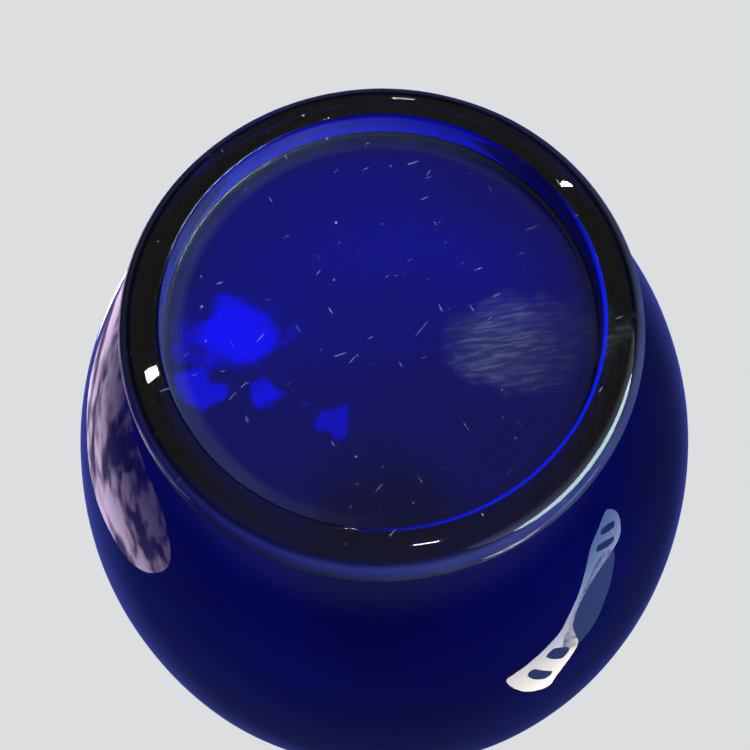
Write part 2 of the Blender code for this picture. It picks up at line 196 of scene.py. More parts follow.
def bottle_outside():
    lip_top = LIP_RADIUS - LIP_EDGE
    points = arc((lip_top, MOUTH_HEIGHT - LIP_EDGE), (LIP_EDGE, LIP_EDGE), 90, 0, 14)
    lip_swell = LIP_RADIUS - NECK_RADIUS
    lip_under = (LIP_RADIUS, LIP_BOTTOM_HEIGHT + 1.6 * lip_swell)
    points += run(points[-1], lip_under, 6)
    points += bend(lip_under, (LIP_RADIUS, LIP_BOTTOM_HEIGHT), (NECK_RADIUS, LIP_BOTTOM_HEIGHT), 12)
    neck = (NECK_RADIUS, NECK_STRAIGHT_HEIGHT)
    points += run(points[-1], neck, 10)
    arch, turn_height = shoulder(BELLY_RADIUS, SHOULDER_RISE, SHOULDER_FILLET_RADIUS, NECK_ROOT_RADIUS, 60)
    root = (NECK_ROOT_RADIUS, NECK_ROOT_HEIGHT)
    points += run(neck, root, 8)
    points += bend(root, (NECK_ROOT_RADIUS, turn_height), arch[0], 16)
    points += arch
    belly = lower_belly(BELLY_RADIUS, FOOT_RADIUS - FOOT_WAIST, FOOT_HEIGHT, 90)
    ring_centre = (FOOT_RADIUS - FOOT_EDGE_WIDTH, FOOT_EDGE_HEIGHT)
    ring = arc(ring_centre, (FOOT_EDGE_WIDTH, FOOT_EDGE_HEIGHT), 40, -90, 22)
    points += belly[:-1]
    points += bend(belly[-2], (belly[-1][0] - 0.1 * MM, FOOT_HEIGHT), ring[0], 8)
    points += ring
    points += run(ring[-1], (RECESS_RADIUS + RECESS_EDGE, 0), 8)
    points += arc((RECESS_RADIUS + RECESS_EDGE, RECESS_EDGE), (RECESS_EDGE, RECESS_EDGE), 270, 180, 6)
    below_bend = (RECESS_RADIUS, RECESS_DEPTH - RECESS_BEND)
    past_bend = (RECESS_RADIUS - RECESS_BEND, RECESS_DEPTH)
    points += run(points[-1], below_bend, 5)
    points += bend(below_bend, (RECESS_RADIUS, RECESS_DEPTH), past_bend, 8)
    panel_height = RECESS_DEPTH + PANEL_RISE
    points += bend(past_bend, (RECESS_RADIUS / 2, panel_height), (0, panel_height), 50)
    return points


def bottle_inside():
    belly = BELLY_RADIUS - WALL
    floor = RECESS_DEPTH + BASE_THICKNESS
    corner_height = floor + HEEL_CORNER
    outer = lower_belly(BELLY_RADIUS, FOOT_RADIUS - FOOT_WAIST, FOOT_HEIGHT, 40)
    heel = min(outer, key=lambda point: abs(point[1] - corner_height))[0] - HEEL_THICKNESS
    turn_in = (heel - HEEL_CORNER, floor)
    points = bend((0, floor + PANEL_RISE), (heel / 2, floor + PANEL_RISE), turn_in, 50)
    points += bend(turn_in, (heel - 0.2 * HEEL_CORNER, floor), (heel, corner_height), 10)
    points += reversed(lower_belly(belly, heel, corner_height, 80))
    rise = SHOULDER_RISE - WALL
    arch, turn_height = shoulder(belly, rise, SHOULDER_FILLET_RADIUS - WALL, BORE_RADIUS, 55)
    points += reversed(arch)
    points += bend(arch[0], (BORE_RADIUS, turn_height), (BORE_RADIUS, NECK_ROOT_HEIGHT), 14)
    seat = (BORE_RADIUS, MOUTH_HEIGHT - SEAT_DEPTH)
    points += run(points[-1], seat, 18)
    seat_top = (BORE_RADIUS + SEAT_WIDTH, MOUTH_HEIGHT - 0.6 * MM)
    points += run(seat, seat_top, 4)
    points += bend(seat_top, (seat_top[0] + 0.2 * MM, MOUTH_HEIGHT), (LIP_RADIUS - LIP_EDGE, MOUTH_HEIGHT), 5)
    return points


# ---------------------------------------------------------------- making meshes


def spin(bm, profile, steps, mark=None):
    """Turns a profile of (r, z) round Z in bm. New points get the mark's value on its layer."""
    points = [bm.verts.new((r, 0, z)) for r, z in without_repeats(profile)]
    edges = [bm.edges.new(pair) for pair in zip(points, points[1:])]
    before = set(bm.verts) - set(points)
    bmesh.ops.spin(
        bm,
        geom=points + edges,
        cent=(0, 0, 0),
        axis=(0, 0, 1),
        angle=2 * math.pi,
        steps=steps,
        use_merge=True,
    )
    if mark:
        layer, value = mark
        for vert in set(bm.verts) - before:
            vert[layer] = value


def finished(name, bm, *materials, smooth=True):
    bmesh.ops.remove_doubles(bm, verts=bm.verts, dist=1e-7)
    bmesh.ops.recalc_face_normals(bm, faces=bm.faces)
    for face in bm.faces:
        face.smooth = smooth
    mesh = bpy.data.meshes.new(name)
    bm.to_mesh(mesh)
    bm.free()
    for material in materials:
        mesh.materials.append(material)
    obj = bpy.data.objects.new(name, mesh)
    bpy.context.scene.collection.objects.link(obj)
    return obj


def ease(value, low, high):
    """0 below low, 1 above high, and a smooth step between them."""
    t = min(max((value - low) / (high - low), 0), 1)
    return t * t * (3 - 2 * t)


def blown(obj_bm, inner_layer):
    """Gives the walls the slow waves of blown glass. The lip, neck and bearing face stay true."""
    obj_bm.normal_update()
    moves = []
    for vert in obj_bm.verts:
        z = vert.co.z
        inner = vert[inner_layer] == 1
        height = ease(z, 12 * MM, 34 * MM) * (1 - ease(z, 132 * MM, 156 * MM))
        slow = noise.noise(vert.co / (34 * MM) + Vector((3.1, 0.4, 7.7)))
        quick = noise.noise(vert.co / (11 * MM) + Vector((0.3, 5.2, 1.9)))
        if inner:
            floor = 1 - ease(z, 14 * MM, 20 * MM)
            swirl = noise.noise(vert.co / (9 * MM) + Vector((8.3, 2.2, 4.4)))
            move = height * (0.5 * slow + 0.14 * quick) + floor * (0.34 * slow + 0.16 * swirl)
        else:
            move = height * (0.24 * slow + 0.045 * quick) - 0.12 * height
        moves.append(vert.normal * move * MM)
    for vert, move in zip(obj_bm.verts, moves):
        vert.co += move


def glass_body(material):
    bm = bmesh.new()
    inner = bm.verts.layers.int.new("inner")
    spin(bm, bottle_outside(), 176, (inner, 0))
    spin(bm, bottle_inside(), 176, (inner, 1))
    bmesh.ops.remove_doubles(bm, verts=bm.verts, dist=1e-7)
    bmesh.ops.recalc_face_normals(bm, faces=bm.faces)
    blown(bm, inner)
    return finished("glass_body", bm, material)


# ---------------------------------------------------------------- wires


def wire_path(corners, segments=14):
    """A wire's centreline through (point, bend radius) corners, with round bends."""
    path = [Vector(corners[0][0])]
    for (before, _), (corner, radius), (after, _) in zip(corners, corners[1:], corners[2:]):
        corner = Vector(corner)
        back = (Vector(before) - corner).normalized()
        ahead = (Vector(after) - corner).normalized()
        turn = back.angle(ahead)
        if radius == 0 or math.pi - turn < 1e-4:
            path.append(corner)
            continue
        reach = radius / math.tan(turn / 2)
        centre = corner + (back + ahead).normalized() * radius / math.sin(turn / 2)
        first = corner + back * reach - centre
        last = corner + ahead * reach - centre
        for i in range(segments + 1):
            path.append(centre + radius * first.slerp(last, i / segments))
    path.append(Vector(corners[-1][0]))
    return [tuple(point) for point in path]


def mirrored(half):
    return [(-x, y, z) for x, y, z in reversed(half)]


def drawn_wire(name, path, material, cyclic=False):
    """A round wire along a path, with its cut ends slightly rounded, as a mesh."""
    points = without_repeats(path)
    curve = bpy.data.curves.new(name, "CURVE")
    curve.dimensions = "3D"
    curve.bevel_depth = WIRE_RADIUS
    curve.bevel_resolution = 6
    curve.use_fill_caps = not cyclic
    radii = [1.0] * len(points)
    if not cyclic:
        rounding = [(0.0, 0.72), (0.12, 0.86), (0.28, 0.96), (0.5, 1.0)]
        for end, inward in ((0, 1), (-1, -2)):
            tip = Vector(points[end])
            along = (Vector(points[inward]) - tip).normalized()
            capped = [(tuple(tip + along * WIRE_RADIUS * s), r) for s, r in rounding]
            if end == 0:
                points = [p for p, _ in capped] + points[1:]
                radii = [r for _, r in capped] + radii[1:]
            else:
                points = points[:-1] + [p for p, _ in reversed(capped)]
                radii = radii[:-1] + [r for _, r in reversed(capped)]
    spline = curve.splines.new("POLY")
    spline.points.add(len(points) - 1)
    for target, point, radius in zip(spline.points, points, radii):
        target.co = (*point, 1)
        target.radius = radius
    spline.use_cyclic_u = cyclic
    rough = bpy.data.objects.new(name + "_path", curve)
    bpy.context.scene.collection.objects.link(rough)
    graph = bpy.context.evaluated_depsgraph_get()
    mesh = bpy.data.meshes.new_from_object(rough.evaluated_get(graph))
    bpy.data.objects.remove(rough)
    bpy.data.curves.remove(curve)
    bm = bmesh.new()
    bm.from_mesh(mesh)
    bpy.data.meshes.remove(mesh)
    return finished(name, bm, material)


def collar(material):
    """One wire round the neck, pinched at each side into an eye that hangs below it."""
    gap = WIRE_RADIUS + RUNNING_GAP / 2
    throat = math.asin(gap / EYE_RADIUS)
    reach = gap + EYE_BEND
    side_x = math.sqrt(COLLAR_RADIUS**2 - reach**2)
    opening = math.asin(reach / COLLAR_RADIUS)
    sweep = math.pi - 2 * opening
    steps = 64
    half = []
    for i in range(steps + 1):
        angle = opening + sweep * i / steps
        half.append((COLLAR_RADIUS * math.cos(angle), COLLAR_RADIUS * math.sin(angle), COLLAR_HEIGHT))
    down = arc((reach, COLLAR_HEIGHT - EYE_BEND), (EYE_BEND, EYE_BEND), 90, 180, 10)
    start, end = 90 - math.degrees(throat), -270 + math.degrees(throat)
    ring = arc((0, COLLAR_PIVOT_Z), (EYE_RADIUS, EYE_RADIUS), start, end, 40)
    up = [(-y, z) for y, z in reversed(down)]
    eye = down[1:] + ring[1:-1] + up[:-1]
    left_eye = [(-side_x, y, z) for y, z in eye]
    right_eye = [(side_x, -y, z) for y, z in eye]
    front = [(-x, -y, z) for x, y, z in half]
    return drawn_wire("collar_ring", half + left_eye + front + right_eye, material, cyclic=True)


def lever(material):
    """The lever: a pin in each collar eye, a coil for the bail, and a bow round the neck's front."""
    pin_end = NECK_RADIUS + COLLAR_CLEARANCE + PIVOT_CLEARANCE
    coil_front = BAIL_PIVOT_Y - EYE_RADIUS
    pin = (pin_end, 0, COLLAR_PIVOT_Z)
    knee = (LEVER_INNER_X, 0, COLLAR_PIVOT_Z)
    arm = wire_path([(pin, 0), (knee, EYE_BEND), ((LEVER_INNER_X, coil_front, BAIL_PIVOT_Z), 0)], segments=10)
    coil = []
    turns = 48
    for i in range(1, turns):
        angle = -math.pi + 2 * math.pi * i / turns
        x = LEVER_INNER_X + (LEVER_OUTER_X - LEVER_INNER_X) * i / turns
        y = BAIL_PIVOT_Y + EYE_RADIUS * math.cos(angle)
        coil.append((x, y, BAIL_PIVOT_Z + EYE_RADIUS * math.sin(angle)))
    bow_height = COLLAR_PIVOT_Z - BOW_DROP
    side = wire_path(
        [
            ((LEVER_OUTER_X, coil_front, BAIL_PIVOT_Z), 0),
            ((LEVER_OUTER_X, coil_front, bow_height + BOW_KNEE), BOW_BEND),
            ((LEVER_OUTER_X, -BOW_FRONT, bow_height), BOW_CORNER),
            ((THUMB_WIDTH / 2, -BOW_FRONT, bow_height), BOW_BEND),
            ((THUMB_WIDTH / 10, -BOW_FRONT - THUMB_KICK, bow_height - THUMB_KICK / 2), 0),
        ],
        segments=20,
    )
    right = arm + coil + side
    return drawn_wire("lever", right + mirrored(right), material)


def bail(material):
    """The bail: up from each coil, outside the lever, and straight across through the stopper."""
    hook_end = LIP_RADIUS + HOOK_CLEARANCE
    middle_z = (BAIL_PIVOT_Z + STOPPER_PIVOT_Z) / 2
    right = wire_path(
        [
            ((hook_end, BAIL_PIVOT_Y, BAIL_PIVOT_Z), 0),
            ((BAIL_X, BAIL_PIVOT_Y, BAIL_PIVOT_Z), HOOK_BEND),
            ((BAIL_X + BAIL_BULGE, BAIL_PIVOT_Y / 2, middle_z), BAIL_SIDE_BEND),
            ((BAIL_X - BAIL_TUCK, 0, STOPPER_PIVOT_Z), BAIL_CORNER),
            ((0, 0, STOPPER_PIVOT_Z), 0),
        ]
    )
    return drawn_wire("bail", right + mirrored(right), material)


# ---------------------------------------------------------------- stopper and gasket


def bored(obj, radius, height, length):
    """Cuts a round hole of a radius along X through obj, at a height."""
    bm = bmesh.new()
    turn = Matrix.Translation((0, 0, height)) @ Matrix.Rotation(math.pi / 2, 4, "Y")
    size = {"radius1": radius, "radius2": radius, "depth": length}
    bmesh.ops.create_cone(bm, cap_ends=True, segments=40, matrix=turn, **size)
    mesh = bpy.data.meshes.new("bore")
    bm.to_mesh(mesh)
    bm.free()
    drill = bpy.data.objects.new("bore", mesh)
    bpy.context.scene.collection.objects.link(drill)
    cut = obj.modifiers.new("bore", "BOOLEAN")
    cut.operation = "DIFFERENCE"
    cut.solver = "EXACT"
    cut.object = drill
    graph = bpy.context.evaluated_depsgraph_get()
    made = bpy.data.meshes.new_from_object(obj.evaluated_get(graph))
    obj.modifiers.remove(cut)
    obj.data = made
    bpy.data.objects.remove(drill)


def porcelain_stopper(material):
    bead = SHANK_RADIUS + SHANK_BEAD
    bead_top = MOUTH_HEIGHT - SEAT_DEPTH - SEAT_CLEARANCE / 2
    bead_mid = bead_top - SHANK_BEAD_HEIGHT / 2
    edge = FLANGE_EDGE
    lower_edge = FLANGE_LOWER_EDGE
    dome = (HEAD_RADIUS, HEAD_DOME)
    profile = arc((0, HEAD_TOP - HEAD_DOME), dome, 90, 0, 26)
    profile += run(profile[-1], (HEAD_RADIUS, STOPPER_PIVOT_Z), 10)
    waist = (WAIST_RADIUS + 0.2 * MM, FLANGE_TOP + WAIST_HEIGHT)
    profile += bend(profile[-1], (HEAD_RADIUS, waist[1] + 1.4 * MM), waist, 8)
    profile += bend(waist, (WAIST_RADIUS, FLANGE_TOP), (FLANGE_RADIUS - edge, FLANGE_TOP), 12)
    profile += arc((FLANGE_RADIUS - edge, FLANGE_TOP - edge), (edge, edge), 90, 0, 10)
    profile += run(profile[-1], (FLANGE_RADIUS, FLANGE_BOTTOM + lower_edge), 3)
    lower_centre = (FLANGE_RADIUS - lower_edge, FLANGE_BOTTOM + lower_edge)
    profile += arc(lower_centre, (lower_edge, lower_edge), 0, -90, 5)
    profile += run(profile[-1], (SHANK_RADIUS, FLANGE_BOTTOM), 6)
    profile += run(profile[-1], (SHANK_RADIUS, bead_top), 6)
    profile += arc((SHANK_RADIUS, bead_mid), (bead - SHANK_RADIUS, SHANK_BEAD_HEIGHT / 2), 90, -90, 14)
    profile += run(profile[-1], (0, bead_mid - SHANK_BEAD_HEIGHT / 2), 8)
    bm = bmesh.new()
    spin(bm, profile, 120)
    obj = finished("porcelain_stopper", bm, material)
    bored(obj, BAIL_HOLE_RADIUS, STOPPER_PIVOT_Z, 4 * HEAD_RADIUS)
    return obj


def rubber_gasket(material):
    inner = SHANK_RADIUS + SHANK_CLEARANCE
    bottom = MOUTH_HEIGHT - SEAT_DEPTH + SEAT_CLEARANCE
    under = MOUTH_HEIGHT + SEAT_CLEARANCE
    edge = GASKET_EDGE
    cone_top = (BORE_RADIUS + SEAT_WIDTH - SEAT_CLEARANCE / 2, under)
    cone_foot = (BORE_RADIUS - SEAT_CLEARANCE, bottom + edge / 2)
    profile = run((inner, GASKET_TOP), (GASKET_RADIUS - edge, GASKET_TOP), 8)
    profile += arc((GASKET_RADIUS - edge, GASKET_TOP - edge), (edge, edge), 90, 0, 8)
    profile += run(profile[-1], (GASKET_RADIUS, under), 5)
    profile += run(profile[-1], cone_top, 3)
    profile += run(cone_top, cone_foot, 8)
    profile += bend(cone_foot, (cone_foot[0], bottom), (cone_foot[0] - edge, bottom), 5)
    profile += run(profile[-1], (inner, bottom), 4)
    profile += run((inner, bottom), (inner, GASKET_TOP), 8)
    bm = bmesh.new()
    spin(bm, profile, 120)
    return finished("rubber_gasket", bm, material)


# ---------------------------------------------------------------- shading


class Value:
    """A shader socket that takes part in Python arithmetic by adding Math nodes."""

    def __init__(self, finish, socket):
        self.finish = finish
        self.socket = socket

    def math(self, operation, *operands):
        return self.finish.node("Math", {"operation": operation}, dict(enumerate(operands)))

    def __add__(self, other):
        return self.math("ADD", self, other)

    def __sub__(self, other):
        return self.math("SUBTRACT", self, other)

    def __rsub__(self, other):
        return self.math("SUBTRACT", other, self)

    def __mul__(self, other):
        return self.math("MULTIPLY", self, other)

    __radd__ = __add__
    __rmul__ = __mul__


class Finish:
    """A surface finish: a material, or any node tree, that nodes are added to by one method."""

    def __init__(self, name, tree=None):
        if tree is None:
            self.material = bpy.data.materials.new(name)
            self.material.use_nodes = True
            tree = self.material.node_tree
        self.tree = tree
        self.surface = tree.nodes.get("Principled BSDF")

    def link(self, target, value):
        if isinstance(value, Value):
            self.tree.links.new(value.socket, target)
        else:
            target.default_value = value

    def node(self, kind, settings=None, inputs=None, output=0):
        made = self.tree.nodes.new("ShaderNode" + kind)
        for name, value in (settings or {}).items():
            setattr(made, name, value)
        for name, value in (inputs or {}).items():
            self.link(made.inputs[name], value)
        return Value(self, made.outputs[output])

    def set(self, **inputs):
        for name, value in inputs.items():
            self.link(self.surface.inputs[name.replace("_", " ")], value)

    def place(self, scale=(1, 1, 1), turn=(0, 0, 0), shift=(0, 0, 0)):
        """Object coordinates, shifted and turned, and then stretched."""
        coordinates = self.node("TexCoord", output="Object")
        turned = self.node("Mapping", {}, {"Vector": coordinates, "Rotation": turn, "Location": shift})
        return self.node("VectorMath", {"operation": "MULTIPLY"}, {0: turned, 1: scale})

    def height(self, vector=None):
        """The Z of a vector, or the surface's own height."""
        return self.node("SeparateXYZ", {}, {"Vector": vector or self.place()}, output="Z")

    def length(self, vector):
        return self.node("VectorMath", {"operation": "LENGTH"}, {0: vector}, output="Value")

    def dot(self, first, second):
        return self.node("VectorMath", {"operation": "DOT_PRODUCT"}, {0: first, 1: second}, output="Value")

    def grain(self, scale, detail=2, roughness=0.5, place=None):
        """Noise from 0 to 1, scale in features a metre."""
        inputs = {"Scale": scale, "Detail": detail, "Roughness": roughness, "Vector": place or self.place()}
        return self.node("TexNoise", {}, inputs)

    def between(self, value, low, high, to_low=0.0, to_high=1.0):
        """value's span from low to high, clamped, put on the span to_low to to_high."""
        spans = {"From Min": low, "From Max": high, "To Min": to_low, "To Max": to_high, "Value": value}
        return self.node("MapRange", {"interpolation_type": "SMOOTHSTEP"}, spans)

    def blend(self, factor, first, second):
        inputs = {"Factor": factor, 6: first, 7: second}
        return self.node("Mix", {"data_type": "RGBA"}, inputs, output=2)

    def bump(self, height, distance, strength):
        return self.node("Bump", {}, {"Height": height, "Distance": distance, "Strength": strength})


def rgb(red, green, blue):
    return (red, green, blue, 1)


UNDERSIDE = (7.5 * MM, 6.8 * MM)  # the foot's underside and the recess end between these heights
SCUFF_CENTRE = (-22 * MM, -4 * MM)
# Colour of the painted light that glows in the glass as emission.
PAINTED_BLUE_LIGHT = (0.0, 0.02, 1.9)
# Painted light: emission patches on the cavity's floor that stand in for caustic light.
PAINTED_FLOOR_LIGHT = [  # centre, reach and brightness of each patch on the cavity's floor
    ((24 * MM, 1 * MM), 7 * MM, 1.0),
    ((16 * MM, -10 * MM), 3.2 * MM, 0.8),
    ((28.5 * MM, -9 * MM), 2.8 * MM, 0.7),
    ((7 * MM, -14 * MM), 2.4 * MM, 0.45),
]


def spot(finish, centre, squash, reach, ragged=0):
    """1 inside reach of a centre (x, y), 0 well outside, with an uneven edge. squash flattens it along Y."""
    around = finish.place(scale=(1, squash, 0), shift=(-centre[0], -centre[1], 0))
    return finish.between(finish.length(around) + ragged, 1.3 * reach, 0.55 * reach)


def foot_wear(finish):
    """Where the foot carries dust specks, hair scratches and one scuffed patch: a mask from 0 to 1."""
    underside = finish.between(finish.height(), *UNDERSIDE)
    specks = finish.node("TexVoronoi", {}, {"Scale": 620.0, "Randomness": 1.0, "Vector": finish.place()})
    chance = finish.grain(310, 1, 0.5, finish.place(shift=(0.3, 0.1, 0)))
    dust = finish.between(specks, 0.19, 0.06) * finish.between(chance, 0.66, 0.74)
    hairs = 0
    for turn, shift in ((0.5, 0.11), (-0.7, 0.37), (1.9, 0.83)):
        drawn = finish.place(scale=(9, 1, 1), turn=(0, 0, turn), shift=(shift, shift, 0))
        hairs = hairs + finish.between(finish.grain(230, 1, 0.4, drawn), 0.785, 0.81)
    rubbed = finish.place(scale=(0.16, 1, 1), turn=(0, 0, 0.12))
    streaks = finish.between(finish.grain(1700, 3, 0.65, rubbed), 0.42, 0.72)
    rubbed_area = spot(finish, SCUFF_CENTRE, 1.5, 11 * MM, 0.012 * finish.grain(210, 3) - 6 * MM)
    scuff = (0.3 + streaks) * rubbed_area
    return underside * (0.6 * dust + 0.3 * hairs + 0.16 * scuff)


def painted_corner_shade(finish):
    """Painted shade in the corner of the recess, where the wall meets the base panel."""
    radius = finish.length(finish.place(scale=(1, 1, 0)))
    height = finish.height()
    in_corner = finish.between(radius, RECESS_RADIUS - 3.4 * MM, RECESS_RADIUS - 1.6 * MM)
    in_recess = finish.between(height, 0.3 * MM, 1.5 * MM) * finish.between(height, *UNDERSIDE)
    return in_corner * in_recess * (0.15 + 0.35 * finish.grain(130, 2))


def painted_floor_caustics(finish, inside):
    """Painted light: emission in ragged patches on the cavity's floor, standing in for the light that its
    ripples would gather.
    """
    ragged = 0.02 * finish.grain(120, 3, 0.6) - 10 * MM
    patches = 0
    for centre, reach, level in PAINTED_FLOOR_LIGHT:
        patches = patches + level * spot(finish, centre, 1.5, reach, ragged)
    return patches * inside * finish.between(finish.height(), 13.5 * MM, 12.8 * MM)


def painted_edge_line(finish):
    """Painted light: an emission line at the recess's rounded edge, on one side, standing in for light piped
    through the foot ring that leaves it there.
    """
    position = finish.place(scale=(1, 1, 0))
    radius = finish.length(position)
    side = finish.dot(position, (-0.85, -0.53, 0))
    outside = finish.between(radius, RECESS_RADIUS - 1 * MM, RECESS_RADIUS - 0.5 * MM)
    inside = finish.between(radius, RECESS_RADIUS + 1.2 * RECESS_EDGE, RECESS_RADIUS + 0.7 * RECESS_EDGE)
    low = finish.between(finish.height(), 2 * RECESS_EDGE, RECESS_EDGE)
    return outside * inside * low * finish.between(side, 0.35 * RECESS_RADIUS, 0.9 * RECESS_RADIUS)


def cobalt_glass():
    """Glass that lets only deep blue through, and little of that where it is thick. Its inside is dull. It
    carries painted light, glowing on the cavity's floor and at the recess's edge, and painted shade in the
    recess's corner.
    """
    finish = Finish("cobalt_glass")
    wear = foot_wear(finish)
    inside = finish.node("Attribute", {"attribute_name": "inner"}, output="Fac")
    finish.set(Base_Color=rgb(0.97, 0.975, 1), Transmission_Weight=1.0, IOR=1.52)
    finish.set(Roughness=0.01 + 0.3 * inside + 0.3 * wear)
    finish.set(Normal=finish.bump(finish.grain(42, 1), 0.22 * MM, 0.6))
    # Painted light: the floor patches and the edge line glow blue through Emission, though no lamp lights
    # them.
    painted_glow = painted_floor_caustics(finish, inside) + 0.4 * painted_edge_line(finish)
    light = finish.blend(painted_glow, rgb(0, 0, 0), rgb(*PAINTED_BLUE_LIGHT))
    finish.set(Emission_Strength=1.0, Emission_Color=light)
    depth = finish.node("VolumeAbsorption", {}, {"Color": rgb(0.0, 0.0, 0.84), "Density": 1000.0})
    # Painted shade: a dark diffuse sheet mixed into the glass in the recess's corner.
    corner_shade_dark = finish.node("BsdfDiffuse", {}, {"Color": rgb(0.07, 0.07, 0.13)})
    dust = finish.node("BsdfDiffuse", {}, {"Color": rgb(0.6, 0.6, 0.66)})
    glass = Value(finish, finish.surface.outputs[0])
    glass_with_shade = finish.node("MixShader", {}, {0: painted_corner_shade(finish), 1: glass, 2: corner_shade_dark})
    output = finish.tree.nodes["Material Output"]
    finish.link(output.inputs["Volume"], depth)
    finish.link(output.inputs["Surface"], finish.node("MixShader", {}, {0: wear, 1: glass_with_shade, 2: dust}))
    return finish.material


def steel_wire():
    finish = Finish("steel_wire")
    mottle = finish.grain(160, 4, 0.6)
    tarnish = finish.between(finish.grain(55, 3, 0.6), 0.52, 0.7)
    bright = finish.blend(mottle, rgb(0.60, 0.60, 0.59), rgb(0.71, 0.71, 0.70))
    finish.set(Base_Color=finish.blend(tarnish * 0.45, bright, rgb(0.36, 0.33, 0.29)))
    finish.set(Metallic=1.0, Roughness=0.2 + 0.16 * mottle + 0.14 * tarnish)
    finish.set(Normal=finish.bump(finish.grain(1400, 2), 0.03 * MM, 0.35))
    return finish.material


def porcelain():
    finish = Finish("porcelain")
    pool = finish.grain(90, 3)
    specks = finish.between(finish.grain(700, 1), 0.735, 0.765)
    body = finish.blend(pool, rgb(0.80, 0.78, 0.715), rgb(0.88, 0.865, 0.81))
    finish.set(Base_Color=finish.blend(specks * 0.5, body, rgb(0.32, 0.25, 0.17)))
    finish.set(Roughness=0.1 + 0.08 * pool, Subsurface_Weight=0.08, Coat_Weight=0.5, Coat_Roughness=0.04)
    finish.set(Normal=finish.bump(finish.grain(190, 2), 0.12 * MM, 0.4))
    return finish.material


def gasket_rubber():
    finish = Finish("gasket_rubber")
    mottle = finish.grain(240, 4, 0.65)
    bloom = finish.between(finish.grain(1100, 3, 0.7), 0.5, 0.8)
    body = finish.blend(mottle, rgb(0.42, 0.065, 0.03), rgb(0.56, 0.10, 0.05))
    finish.set(Base_Color=finish.blend(bloom * 0.3, body, rgb(0.62, 0.30, 0.24)))
    finish.set(Roughness=0.5 + 0.2 * mottle)
    finish.set(Normal=finish.bump(finish.grain(1800, 3), 0.06 * MM, 0.5))
    return finish.material


# ---------------------------------------------------------------- the bottle

STEEL = steel_wire()

PIECES = [
    (glass_body(cobalt_glass()), "bottle", "glass_bottle", "cobalt_glass"),
    (collar(STEEL), "bottle", "neck_collar", "steel_wire"),
    (lever(STEEL), "lever", "lever_wire", "steel_wire"),
    (bail(STEEL), "bail", "bail_wire", "steel_wire"),
    (porcelain_stopper(porcelain()), "closure", "stopper", "porcelain"),
    (rubber_gasket(gasket_rubber()), "closure", "gasket", "gasket_rubber"),
]
for piece, body, node, slot in PIECES:
    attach(piece, body)
    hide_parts(node)

# ---------------------------------------------------------------- camera

CAMERA_TILT = math.radians(22.8)
CAMERA_REACH = 191.9 * MM
CAMERA_ROLL = math.radians(1.2)
LENS = 62.4
PAN = math.radians(0.25)
LIFT = math.radians(2.9)


def aim_camera():
    """Below the bottle and in front of it, looking up at its foot, with the front towards the bottom."""
    camera = bpy.data.objects.new("camera", bpy.data.cameras.new("camera"))
    bpy.context.scene.collection.objects.link(camera)
    camera.data.lens = LENS
    camera.data.clip_start = 0.01
    camera.data.clip_end = 20
    away = Vector((0, -math.sin(CAMERA_TILT), -math.cos(CAMERA_TILT)))
    right = Vector((-1, 0, 0))
    up = right.cross(-away)
    turn = Matrix((right, up, away)).transposed().to_4x4()
    aim = Vector((math.tan(PAN), math.tan(LIFT), -1)).normalized()
    off_axis = Vector((0, 0, -1)).rotation_difference(aim).to_matrix().to_4x4()
    roll = Matrix.Rotation(CAMERA_ROLL, 4, "Z")
    place = Matrix.Translation(away * CAMERA_REACH)
    camera.matrix_world = place @ turn @ roll.inverted() @ off_axis.inverted()
    bpy.context.scene.camera = camera


aim_camera()

# ---------------------------------------------------------------- stage and light


def softbox(name, place, target, size, power, colour=(1, 1, 1)):
    """A rectangular lamp at a place, turned to a target, that the camera doesn't see."""
    data = bpy.data.lights.new(name, "AREA")
    data.shape = "RECTANGLE"
    data.size, data.size_y = size
    data.energy = power
    data.color = colour
    light = bpy.data.objects.new(name, data)
    light.location = place
    light.rotation_euler = (Vector(target) - Vector(place)).to_track_quat("-Z", "Y").to_euler()
    light.visible_camera = False
    bpy.context.scene.collection.objects.link(light)


def one_way_floor():
    """A pale floor seen only from above, so that light and view reach the bottle's foot from below."""
    bm = bmesh.new()
    bmesh.ops.create_circle(bm, cap_ends=True, segments=96, radius=2.5)
    finish = Finish("floor")
    finish.set(Base_Color=rgb(0.8, 0.8, 0.79), Roughness=0.6)
    path = finish.tree.nodes.new("ShaderNodeLightPath")
    seen = Value(finish, path.outputs["Is Camera Ray"])
    through = Value(finish, path.outputs["Is Transmission Ray"])
    behind = finish.node("NewGeometry", output="Backfacing")
    shown = (1 - behind) * (seen + through)
    clear = finish.node("BsdfTransparent")
    surface = Value(finish, finish.surface.outputs[0])
    mixed = finish.node("MixShader", {}, {0: shown, 1: clear, 2: surface})
    finish.link(finish.tree.nodes["Material Output"].inputs["Surface"], mixed)
    floor = finished("floor", bm, finish.material, smooth=False)
    if floor.data.polygons[0].normal.z < 0:
        floor.data.flip_normals()


def surroundings():
    """A pale backdrop to look at, and a dimmer room to reflect and light: bluish overhead and behind."""
    world = bpy.data.worlds.new("room")
    world.use_nodes = True
    bpy.context.scene.world = world
    room = Finish("room", world.node_tree)
    toward = room.node("TexCoord", output="Generated")
    height = room.height(toward)
    sky = room.between(room.dot(toward, (0.12, 0.6, 0.79)), 0.62, 0.97)
    horizon = room.between(height, -0.35, 0.0) * room.between(height, 0.38, 0.1)
    floor = room.between(height, -0.35, -0.75)
    shade = room.blend(sky, rgb(0.022, 0.03, 0.12), rgb(0.06, 0.08, 0.42))
    shade = room.blend(horizon, shade, rgb(0.16, 0.175, 0.3))
    shade = room.blend(floor, shade, rgb(0.2, 0.195, 0.185))
    seen = room.node("LightPath", output="Is Camera Ray")
    colour = room.blend(seen, shade, rgb(0.72, 0.73, 0.74))
    room.link(world.node_tree.nodes["Background"].inputs["Color"], colour)


def direction(x, y, z, reach):
    """The point at a distance of reach from the bottle's foot, in a direction."""
    return Vector((x, y, z)).normalized() * reach


